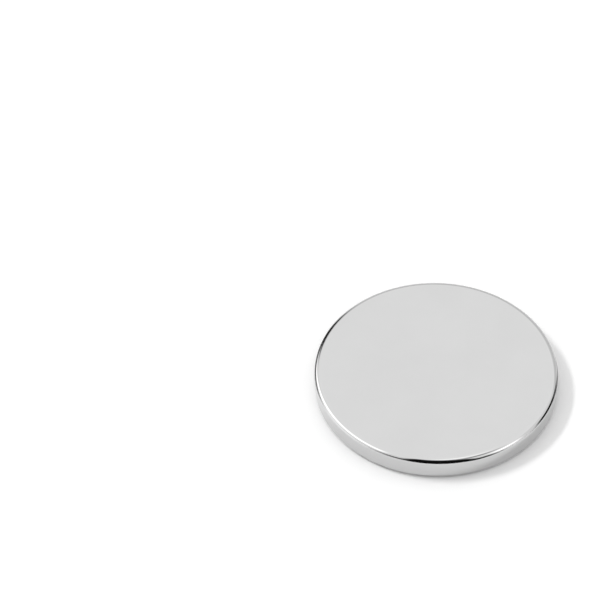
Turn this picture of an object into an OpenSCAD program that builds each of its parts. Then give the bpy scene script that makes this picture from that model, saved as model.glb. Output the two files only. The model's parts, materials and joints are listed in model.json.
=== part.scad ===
// Disc magnet: a flat round disc of sintered magnet, plated all over, with both rims rounded.
// It lies flat on its lower face. The origin is the centre of that face, and +Z is the disc's axis.

/* [Disc] */
// Diameter over the rim
disc_diameter = 20; // [5:0.5:60]
// Height from the lower face to the upper face
disc_thickness = 2.1; // [1.5:0.1:20]

/* [Edges] */
// Radius of the rounding on the upper and lower rims
edge_radius = 0.5; // [0.1:0.05:0.7]

/* [Finish] */
// Colour of the plating
plating_colour = "lightgrey"; // [lightgrey:Nickel, gold:Gold, dimgrey:Black nickel]

/* [Smoothness] */
// Straight steps round the disc
disc_steps = 180; // [48:12:360]
// Straight steps in a full circle of the edge rounding
edge_steps = 48; // [16:4:96]

/* [Hidden] */

disc_radius = disc_diameter / 2;
// Distance of the rounding's centre from the axis
rounding_centre_r = disc_radius - edge_radius;
// Height of the straight side between the two roundings
side_height = disc_thickness - 2 * edge_radius;

// One edge rounding in the half section, seen end-on, with its centre at the given height
module edge_round(centre_height) {
    translate([rounding_centre_r, centre_height])
        circle(r = edge_radius, $fn = edge_steps);
}

// Half of the disc's section, from the axis at x = 0 out to the rim
module half_section() {
    // Flat faces, as far out as the roundings
    square([rounding_centre_r, disc_thickness]);
    // Straight side
    translate([0, edge_radius])
        square([disc_radius, side_height]);
    edge_round(edge_radius);
    edge_round(disc_thickness - edge_radius);
}

// The magnet: its half section turned once round the axis
module disc_magnet() {
    color(plating_colour)
        rotate_extrude($fn = disc_steps)
            half_section();
}

disc_magnet();
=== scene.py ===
# %% [markdown]
# # A bright-plated disc magnet in a white studio
# The object is one turned form: a flat disc with both rims rounded, plated in bright nickel. A smooth
# mirror has no look of its own, so this lesson spends as much care on what the metal reflects as on
# the disc. First comes the frame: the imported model, in metres, with its origin at the centre of the
# face that the disc rests on. Every size of the disc is read from it, so the mesh needs no fitting.

# %% Load the frame
import json
import math

import bmesh
import bpy
from mathutils import Matrix, Vector


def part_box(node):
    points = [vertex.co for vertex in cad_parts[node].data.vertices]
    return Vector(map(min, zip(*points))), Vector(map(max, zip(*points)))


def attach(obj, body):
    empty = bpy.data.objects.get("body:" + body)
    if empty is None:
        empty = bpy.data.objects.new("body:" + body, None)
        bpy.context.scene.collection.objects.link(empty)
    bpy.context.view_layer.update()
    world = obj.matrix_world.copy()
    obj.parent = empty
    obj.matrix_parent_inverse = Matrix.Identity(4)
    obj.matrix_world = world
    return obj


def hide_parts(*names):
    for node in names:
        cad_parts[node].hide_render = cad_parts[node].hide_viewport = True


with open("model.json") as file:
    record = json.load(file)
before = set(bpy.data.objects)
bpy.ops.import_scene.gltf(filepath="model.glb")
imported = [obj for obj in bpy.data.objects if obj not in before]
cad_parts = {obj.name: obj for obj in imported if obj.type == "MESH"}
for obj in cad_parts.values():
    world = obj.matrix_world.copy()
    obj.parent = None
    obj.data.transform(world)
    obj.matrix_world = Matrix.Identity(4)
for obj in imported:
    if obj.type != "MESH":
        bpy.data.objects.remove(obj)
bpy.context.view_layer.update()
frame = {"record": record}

NODE = "disc_magnet"
BODY = "root"
MM = 0.001
low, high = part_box(NODE)
radius = (high.x - low.x) / 2
thickness = high.z - low.z
print(f"disc: radius {radius / MM:.3f} mm, thickness {thickness / MM:.3f} mm")

# %% [markdown]
# ## How round the rims are
# The rounding of the rims is the one size that the box doesn't tell. The record does: it states the
# straight side between the two roundings as a mount with a length. What the thickness has beyond
# that length is two roundings, one above and one below.

# %% Read the edge radius
rim_mount = next(m for m in frame["record"]["mounts"] if m["name"] == "rim")
side_height = rim_mount["dims"]["length_mm"] * MM
edge_radius = (thickness - side_height) / 2
print(f"edge rounding: {edge_radius / MM:.3f} mm")

# %% [markdown]
# ## The disc
# The real disc is pressed and sintered, ground flat on both faces, tumbled until its rims are round,
# and plated. Its mesh follows the same order. A circle is extruded to the thickness, and then the two
# sharp rims are bevelled. A spun half section would give the same form, but a bevel keeps each flat
# face as one clean polygon, and a profile of 0.5 makes the rounding a true quarter circle.

# %% Model the disc
ROUND_STEPS = 360
ROUNDING_STEPS = 16
QUARTER_CIRCLE_PROFILE = 0.5


def solid_disc(bm):
    """A closed sharp-edged disc of the full size, lying on the plane z = 0."""
    bmesh.ops.create_circle(bm, cap_ends=True, segments=ROUND_STEPS, radius=radius)
    bm.faces.ensure_lookup_table()
    lifted = bmesh.ops.extrude_face_region(bm, geom=[bm.faces[0]])
    top = [v for v in lifted["geom"] if isinstance(v, bmesh.types.BMVert)]
    bmesh.ops.translate(bm, verts=top, vec=(0, 0, thickness))
    bmesh.ops.recalc_face_normals(bm, faces=bm.faces)


def round_rims(bm):
    """Bevels the upper and the lower rim with a quarter circle."""
    rims = [e for e in bm.edges if abs(e.verts[0].co.z - e.verts[1].co.z) < thickness / 2]
    bmesh.ops.bevel(
        bm,
        geom=rims,
        offset=edge_radius,
        offset_type="OFFSET",
        segments=ROUNDING_STEPS,
        profile=QUARTER_CIRCLE_PROFILE,
        affect="EDGES",
        clamp_overlap=True,
        material=-1,
    )


mesh = bpy.data.meshes.new("magnet_disc")
bm = bmesh.new()
solid_disc(bm)
round_rims(bm)
for face in bm.faces:
    face.smooth = True
bm.to_mesh(mesh)
bm.free()
disc = bpy.data.objects.new("magnet_disc", mesh)
bpy.context.scene.collection.objects.link(disc)
print(f"disc mesh: {len(mesh.vertices)} points, {len(mesh.polygons)} faces")

# %% [markdown]
# ## Normals that let flat stay flat
# On a mirror a normal that is half a degree wrong bends the whole reflection. Smooth shading shares
# each point's normal between its faces, so the flat faces would seem to curve at their edge. Weighting
# by face area lets the large flat face and the straight side win over the thin strips of the rounding.

# %% Weight the normals
LARGE_FACES_WIN = 100

weighted = disc.modifiers.new("flat faces stay flat", "WEIGHTED_NORMAL")
weighted.mode = "FACE_AREA"
weighted.weight = LARGE_FACES_WIN
weighted.keep_sharp = False

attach(disc, BODY)
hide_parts(NODE)
print(f"{disc.name} takes the place of {NODE}, with normals weighted by face area")

# %% [markdown]
# ## Bright nickel
# Bright nickel is a neutral mirror that gives back about six tenths of the light. It could be a grey
# metal of one roughness, but real plating is never that even: it grows a little thicker and duller in
# soft clouds, and it keeps a trace of the tumbled surface under it. Noise on Object coordinates makes
# both, so they stay on the metal from every side. Their sizes and strengths are guesses.

# %% Plate it with nickel
NICKEL_GREY = 0.58
GREY_SPREAD = 0.008
ROUGHNESS_FROM, ROUGHNESS_TO = 0.03, 0.05
NOISE_FROM, NOISE_TO = 0.3, 0.7
CLOUD_SIZE = 4.0 * MM
CLOUD_DETAIL = 3.0
PEEL_SIZE = 0.6 * MM
PEEL_HEIGHT = 0.00002 * MM
GRAIN_SIZE = 0.06 * MM
GRAIN_HEIGHT = 0.00001 * MM
FINE_DETAIL = 1.0


def new_material(name):
    """An empty node material and its node tree."""
    material = bpy.data.materials.new(name)
    material.use_nodes = True
    material.node_tree.nodes.clear()
    return material, material.node_tree


def noise(tree, coords, size, detail):
    """A noise pattern whose blobs are about size metres across."""
    node = tree.nodes.new("ShaderNodeTexNoise")
    node.inputs["Scale"].default_value = 1 / size
    node.inputs["Detail"].default_value = detail
    tree.links.new(coords.outputs["Object"], node.inputs["Vector"])
    return node


def spread(tree, pattern, start, end):
    """Spreads the middle of a noise pattern over the values from start to end."""
    node = tree.nodes.new("ShaderNodeMapRange")
    node.inputs["From Min"].default_value = NOISE_FROM
    node.inputs["From Max"].default_value = NOISE_TO
    node.inputs["To Min"].default_value = start
    node.inputs["To Max"].default_value = end
    tree.links.new(pattern.outputs["Fac"], node.inputs["Value"])
    return node


def bump(tree, pattern, height, below=None):
    """Raises the surface by a pattern, over another bump if one is given."""
    node = tree.nodes.new("ShaderNodeBump")
    node.inputs["Strength"].default_value = 1.0
    node.inputs["Distance"].default_value = height
    tree.links.new(pattern.outputs["Fac"], node.inputs["Height"])
    if below:
        tree.links.new(below.outputs["Normal"], node.inputs["Normal"])
    return node


def nickel_plating():
    """Bright nickel over tumbled metal."""
    material, tree = new_material("nickel_plating")
    coords = tree.nodes.new("ShaderNodeTexCoord")
    metal = tree.nodes.new("ShaderNodeBsdfPrincipled")
    metal.inputs["Metallic"].default_value = 1.0
    clouds = noise(tree, coords, CLOUD_SIZE, CLOUD_DETAIL)
    grey = spread(tree, clouds, NICKEL_GREY - GREY_SPREAD, NICKEL_GREY + GREY_SPREAD)
    colour = tree.nodes.new("ShaderNodeCombineColor")
    for channel in ("Red", "Green", "Blue"):
        tree.links.new(grey.outputs["Result"], colour.inputs[channel])
    tree.links.new(colour.outputs["Color"], metal.inputs["Base Color"])
    rough = spread(tree, clouds, ROUGHNESS_FROM, ROUGHNESS_TO)
    tree.links.new(rough.outputs["Result"], metal.inputs["Roughness"])
    peel = bump(tree, noise(tree, coords, PEEL_SIZE, FINE_DETAIL), PEEL_HEIGHT)
    grain = bump(tree, noise(tree, coords, GRAIN_SIZE, FINE_DETAIL), GRAIN_HEIGHT, peel)
    tree.links.new(grain.outputs["Normal"], metal.inputs["Normal"])
    output = tree.nodes.new("ShaderNodeOutputMaterial")
    tree.links.new(metal.outputs["BSDF"], output.inputs["Surface"])
    return material


mesh.materials.append(nickel_plating())
print("plated with", mesh.materials[0].name)

# %% [markdown]
# ## The camera
# The photograph looks down at the disc from the front at about 47 degrees, through a long lens, with
# the disc right of and below the middle. A camera that aims at the floor behind and to the left of the
# disc gives the same framing with no shift, so the perspective of the rim is right too.

# %% Set the camera
CAMERA_ELEVATION = math.radians(47.03)
CAMERA_DISTANCE = 0.3769
AIM = Vector((-0.01135, 0.00995, 0.0))
PICTURE_WIDTH_PX = 596
FOCAL_LENGTH_PX = 4500
SENSOR_WIDTH_MM = 36.0
NEAREST_SEEN = 0.01
FARTHEST_SEEN = 10.0

camera_data = bpy.data.cameras.new("camera")
camera_data.sensor_width = SENSOR_WIDTH_MM
camera_data.lens = SENSOR_WIDTH_MM * FOCAL_LENGTH_PX / PICTURE_WIDTH_PX
camera_data.clip_start = NEAREST_SEEN
camera_data.clip_end = FARTHEST_SEEN
camera = bpy.data.objects.new("camera", camera_data)
bpy.context.scene.collection.objects.link(camera)
to_camera = Vector((0.0, -math.cos(CAMERA_ELEVATION), math.sin(CAMERA_ELEVATION)))
camera.location = AIM + CAMERA_DISTANCE * to_camera
camera.rotation_mode = "QUATERNION"
camera.rotation_quaternion = (-to_camera).to_track_quat("-Z", "Y")
bpy.context.scene.camera = camera
print(f"camera: {camera_data.lens:.1f} mm lens, {CAMERA_DISTANCE} m from its aim")

# %% [markdown]
# ## The light
# The photograph's shadow falls to the right and a little forward. Its right edge is crisp and its
# front edge is soft, so the lamp is a strip: low in height and long from front to back. It could be
# found by trial, but the offset of the shadow from the rim gives its direction directly. The white
# room does the rest. It gives plain light to matt surfaces, and shows itself as white to the camera
# and to the mirror of the metal. Lamp and room together light the floor at a level of 1.

# %% Light the studio
SHADOW_RIGHT = 1.6 * MM
SHADOW_FORWARD = 0.4 * MM
KEY_DIRECTION = Vector((-SHADOW_RIGHT, SHADOW_FORWARD, thickness)).normalized()
KEY_DISTANCE = 4.0
KEY_LENGTH = 1.25
KEY_HEIGHT = 0.38
KEY_POWER = 44.0
ROOM_LIGHT = 0.78
ROOM_SEEN = 1.0
WHITE = (1, 1, 1, 1)


def combine(tree, operation, first, second):
    """A Math node on two outputs."""
    node = tree.nodes.new("ShaderNodeMath")
    node.operation = operation
    tree.links.new(first, node.inputs[0])
    tree.links.new(second, node.inputs[1])
    return node.outputs["Value"]


def seen_directly(tree):
    """A value of 1 for what the camera sees, also in a mirror, and 0 for light on matt surfaces."""
    path = tree.nodes.new("ShaderNodeLightPath")
    seen = combine(tree, "MAXIMUM", path.outputs["Is Camera Ray"], path.outputs["Is Glossy Ray"])
    seen = combine(tree, "MAXIMUM", seen, path.outputs["Is Transmission Ray"])
    return combine(tree, "GREATER_THAN", seen, path.outputs["Diffuse Depth"])


def white_room():
    """A world that lights plainly and is seen as white."""
    world = bpy.data.worlds.new("white room")
    world.use_nodes = True
    tree = world.node_tree
    tree.nodes.clear()
    lighting = tree.nodes.new("ShaderNodeBackground")
    lighting.inputs["Strength"].default_value = ROOM_LIGHT
    lighting.inputs["Color"].default_value = WHITE
    seen = tree.nodes.new("ShaderNodeBackground")
    seen.inputs["Strength"].default_value = ROOM_SEEN
    seen.inputs["Color"].default_value = WHITE
    mix = tree.nodes.new("ShaderNodeMixShader")
    tree.links.new(seen_directly(tree), mix.inputs["Fac"])
    tree.links.new(lighting.outputs["Background"], mix.inputs[1])
    tree.links.new(seen.outputs["Background"], mix.inputs[2])
    output = tree.nodes.new("ShaderNodeOutputWorld")
    tree.links.new(mix.outputs["Shader"], output.inputs["Surface"])
    return world


bpy.context.scene.world = white_room()
bpy.context.scene.view_settings.view_transform = "Standard"

key_data = bpy.data.lights.new("key_strip", "AREA")
key_data.shape = "RECTANGLE"
key_data.size = KEY_LENGTH
key_data.size_y = KEY_HEIGHT
key_data.energy = KEY_POWER
key = bpy.data.objects.new("key_strip", key_data)
bpy.context.scene.collection.objects.link(key)
key.location = KEY_DISTANCE * KEY_DIRECTION
key.rotation_mode = "QUATERNION"
key.rotation_quaternion = (-KEY_DIRECTION).to_track_quat("-Z", "Y")
key.visible_glossy = False
print("key strip at", [round(x, 2) for x in key.location])

# %% [markdown]
# ## The floor
# The floor is matt paper. It gives back seven tenths of the light, a little less than real white
# paper, and would render as a light grey, so the camera and the mirror of the metal see it as fully
# white instead. Its white is a colour and not a glow, so the shadow keeps its full depth, down to the dark
# line where the disc touches the paper.

# %% Lay the floor
FLOOR_HALF_WIDTH = 3.0
PAPER = 0.7
PAPER_SEEN = 1.09


def white_paper():
    """Matt paper that is seen as white, and lights other things as a light grey would."""
    material, tree = new_material("white_paper")
    shade = tree.nodes.new("ShaderNodeMapRange")
    shade.inputs["To Min"].default_value = PAPER
    shade.inputs["To Max"].default_value = PAPER_SEEN
    tree.links.new(seen_directly(tree), shade.inputs["Value"])
    matt = tree.nodes.new("ShaderNodeBsdfDiffuse")
    tree.links.new(shade.outputs["Result"], matt.inputs["Color"])
    output = tree.nodes.new("ShaderNodeOutputMaterial")
    tree.links.new(matt.outputs["BSDF"], output.inputs["Surface"])
    return material


def stage_piece(name, shape, material):
    """Makes a floor or a card, which isn't part of the object, from a bmesh and a material."""
    stage_mesh = bpy.data.meshes.new(name)
    shape.to_mesh(stage_mesh)
    shape.free()
    stage_mesh.materials.append(material)
    made = bpy.data.objects.new(name, stage_mesh)
    bpy.context.scene.collection.objects.link(made)
    return made


floor_sheet = bmesh.new()
bmesh.ops.create_grid(floor_sheet, x_segments=1, y_segments=1, size=FLOOR_HALF_WIDTH)
stage_piece("floor", floor_sheet, white_paper())
print(f"floor: {2 * FLOOR_HALF_WIDTH:.0f} m across")

# %% [markdown]
# ## Cards that only the metal sees
# In a room that is white all round, polished metal looks like grey paper. Photographers put dark and
# bright cards round it, and the metal draws its edge with them. Every card here is seen in reflections
# alone, so it neither shades the floor nor comes into view. A hard-edged card would show in the side
# of the disc as a cut-out shape. A card's glow is therefore mixed with clear by two ramps on its own
# coordinates, one across it and one along it.

# %% Make a glow with soft edges
def card_axes(tree):
    """How far a point lies from the card's origin along each of the card's own axes."""
    coords = tree.nodes.new("ShaderNodeTexCoord")
    offset = tree.nodes.new("ShaderNodeVectorMath")
    offset.operation = "ABSOLUTE"
    tree.links.new(coords.outputs["Object"], offset.inputs[0])
    axes = tree.nodes.new("ShaderNodeSeparateXYZ")
    tree.links.new(offset.outputs["Vector"], axes.inputs["Vector"])
    return axes.outputs


def edge_fade(tree, offset, share):
    """1 inside a card, falling to 0 at its edge over the outer share of it."""
    fade = tree.nodes.new("ShaderNodeMapRange")
    fade.interpolation_type = "SMOOTHSTEP"
    fade.inputs["From Min"].default_value = 1 - share
    fade.inputs["From Max"].default_value = 1
    fade.inputs["To Min"].default_value = 1
    fade.inputs["To Max"].default_value = 0
    tree.links.new(offset, fade.inputs["Value"])
    return fade.outputs["Result"]


def narrowed(tree, across, along, taper):
    """Makes a card narrower along its length, down to a share taper of its width."""
    width = tree.nodes.new("ShaderNodeMapRange")
    width.inputs["To Min"].default_value = 1
    width.inputs["To Max"].default_value = taper
    tree.links.new(along, width.inputs["Value"])
    return combine(tree, "DIVIDE", across, width.outputs["Result"])


def mix_glow(tree, strength, sides, ends):
    """Shows a glow where both fades are 1, and lets light through where one is 0."""
    clear = tree.nodes.new("ShaderNodeBsdfTransparent")
    glow = tree.nodes.new("ShaderNodeEmission")
    glow.inputs["Strength"].default_value = strength
    mix = tree.nodes.new("ShaderNodeMixShader")
    tree.links.new(combine(tree, "MULTIPLY", sides, ends), mix.inputs["Fac"])
    tree.links.new(clear.outputs["BSDF"], mix.inputs[1])
    tree.links.new(glow.outputs["Emission"], mix.inputs[2])
    output = tree.nodes.new("ShaderNodeOutputMaterial")
    tree.links.new(mix.outputs["Shader"], output.inputs["Surface"])


def show_in_metal_only(card, matrix):
    """Puts a card in its place and hides it from everything but reflections."""
    card.matrix_world = matrix
    card.visible_camera = False
    card.visible_diffuse = False
    card.visible_shadow = False
    card.visible_transmission = False


print("a card is seen in reflections alone, and fades out towards its edges")

# %% [markdown]
# ## Bright panels
# The photograph's rim has one bright line at the left and one at the right, and a soft gleam above.
# Here each is the reflection of a panel, whose place, size and glow are fitted to the photograph. They
# could be area lamps, but those would light the floor as well. A panel is a flat square that faces
# the disc, stretched until it fills the angles that the bright line asks for. A dim panel high in
# front at the right, and a card behind the disc that is a little short of white, keep the rim there a
# little darker than the face.

# %% Hang the bright panels
PANEL_DISTANCE = 1.2
CEILING_DISTANCE = 2.4


def flat_card(name, matrix, glow, soft_sides, soft_ends, taper=1.0, half=False):
    """A flat card. A tapered one narrows towards its ends, and a half one has only its Y above 0."""
    square = bmesh.new()
    bmesh.ops.create_grid(square, x_segments=1, y_segments=1, size=1)
    if half:
        lower_edge = [v for v in square.verts if v.co.y < 0]
        bmesh.ops.translate(square, verts=lower_edge, vec=(0, 1, 0))
    material, tree = new_material(name)
    axes = card_axes(tree)
    sides = edge_fade(tree, narrowed(tree, axes["X"], axes["Y"], taper), soft_sides)
    mix_glow(tree, glow, sides, edge_fade(tree, axes["Y"], soft_ends))
    show_in_metal_only(stage_piece(name, square, material), matrix)
    print(f"{name}: glow {glow}")


def direction(azimuth, elevation):
    """Unit vector to the room. Azimuth 0 is behind the disc, 90 its right and 180 the camera's side."""
    a = math.radians(azimuth)
    e = math.radians(elevation)
    return Vector((math.sin(a) * math.cos(e), math.cos(a) * math.cos(e), math.sin(e)))


def reach(angle, distance):
    """How far a card at a distance reaches to the side of the line of sight, to fill an angle."""
    return distance * math.tan(math.radians(angle))


def panel(name, azimuth, elevation, width, height, glow, soft, roll=0, distance=PANEL_DISTANCE):
    """A panel that faces the disc. Width and height are the angles that it fills."""
    towards = direction(azimuth, elevation)
    turn = towards.to_track_quat("Z", "Y").to_matrix().to_4x4()
    tilt = Matrix.Rotation(math.radians(roll), 4, "Z")
    size = Matrix.Diagonal((reach(width / 2, distance), reach(height / 2, distance), 1, 1))
    matrix = Matrix.Translation(distance * towards) @ turn @ tilt @ size
    flat_card(name, matrix, glow, soft, soft)


panel("ceiling", 0, 90, width=130, height=130, glow=1.19, soft=0.65, distance=CEILING_DISTANCE)
panel("overhead_softbox", 125, 77, width=38, height=22, glow=1.5, soft=0.6)
panel("left_softbox", -86, 23, width=97, height=36, glow=1.95, soft=0.3, roll=26)
panel("right_softbox", 121, 22, width=38, height=36, glow=2.1, soft=0.8)
panel("upper_dark_panel", 137, 54, width=44, height=30, glow=0.35, soft=0.95)
panel("back_card", 18, 19, width=76, height=46, glow=0.82, soft=0.4)

# %% [markdown]
# ## Dark cards
# The rim has a black line along its front and two dark arcs, at its right and at its back left. Plain
# cards stand in for what it reflects there. Each is fitted to the photograph, stands on the floor a
# metre off, and has no fade at its foot. The flat face is a mirror as well, so in a view from the far
# side of a card it shows that card and goes dark: black from straight behind, and grey as high as 60
# degrees.

# %% Stand the dark cards
STAND_DISTANCE = 1.0
BLACK = 0.006


def dark_card(name, azimuth, width, height, soft_sides, soft_top, taper=1.0):
    """A card that stands on the floor. Width and height are the angles that it fills."""
    upright = Matrix.Rotation(math.radians(90), 4, "X")
    turn = Matrix.Rotation(-math.radians(azimuth), 4, "Z")
    half_width = reach(width / 2, STAND_DISTANCE)
    size = Matrix.Diagonal((half_width, reach(height, STAND_DISTANCE), 1, 1))
    matrix = turn @ Matrix.Translation((0, STAND_DISTANCE, 0)) @ upright @ size
    flat_card(name, matrix, BLACK, soft_sides, soft_top, taper, half=True)


dark_card("camera_side_card", 178, width=72, height=68, soft_sides=0.35, soft_top=0.5, taper=0.6)
dark_card("camera_side_strip", 177, width=110, height=20, soft_sides=0.5, soft_top=0.4)
dark_card("right_card", 72, width=48, height=18, soft_sides=0.5, soft_top=0.5)
dark_card("back_left_card", -26, width=30, height=37, soft_sides=0.7, soft_top=0.65)

# %% [markdown]
# ## Sheets on the floor
# The straight side of the disc looks down at the floor, so its dark and bright stretches are made by
# sheets that lie there, each on a layer of its own. Bare paper all round would leave the side a plain
# strip. The long sheets start 1.6 to 10 mm off the rim, because the lower edge of the side reflects
# white floor in the photograph, and they widen as they run off, so that their reflections end softly
# instead of in a point. The bright sheet at the left is a painted pool of light on the floor, and the
# small grey sheet at the left, which starts under the rounding of the rim, is a painted shadow on the
# floor. Like every sheet, they show only in the metal.

# %% Lay the sheets
SHEET_LIFT = 0.02 * MM
SHEET_SOFT_SIDES = 0.6


def sheet(name, layer, azimuth, start, heading, length, width, spread, soft_start, glow=BLACK):
    """A sheet from a start off the axis along a heading. Lengths are in millimetres."""
    begin = start * MM * direction(azimuth, 0) + Vector((0, 0, layer * SHEET_LIFT))
    turn = Matrix.Rotation(-math.radians(heading), 4, "Z")
    far_half_width = width / 2 + reach(spread / 2, length)
    size = Matrix.Diagonal((far_half_width * MM, -length * MM, 1, 1))
    matrix = Matrix.Translation(begin) @ turn @ Matrix.Translation((0, length * MM, 0)) @ size
    taper = width / 2 / far_half_width
    flat_card(name, matrix, glow, SHEET_SOFT_SIDES, soft_start / length, taper, half=True)


sheet("camera_side_sheet", 1, 180, 20, 180, length=300, width=66, spread=60, soft_start=10)
sheet("front_right_sheet", 2, 148, 14, 149, length=300, width=10, spread=22, soft_start=6)
sheet("front_left_sheet", 3, -145, 16, -145, length=300, width=14, spread=30, soft_start=8, glow=0.35)
sheet("right_sheet", 4, 98, 11.6, 80, length=300, width=17, spread=26, soft_start=4)
# A painted pool of light on the floor at the left: a sheet brighter than the paper, which only the metal
# shows.
sheet("left_painted_light_sheet", 5, -121, 10.5, -98, length=80, width=21, spread=10, soft_start=3, glow=1.35)
sheet("back_left_sheet", 6, -80, 12.4, -26, length=300, width=15, spread=20, soft_start=3)
# A painted shadow on the floor beside the left rim: a small grey sheet that only the metal shows.
sheet("left_painted_shadow_sheet", 7, -74, 9.9, -74, length=6, width=15, spread=0, soft_start=1.5, glow=0.3)
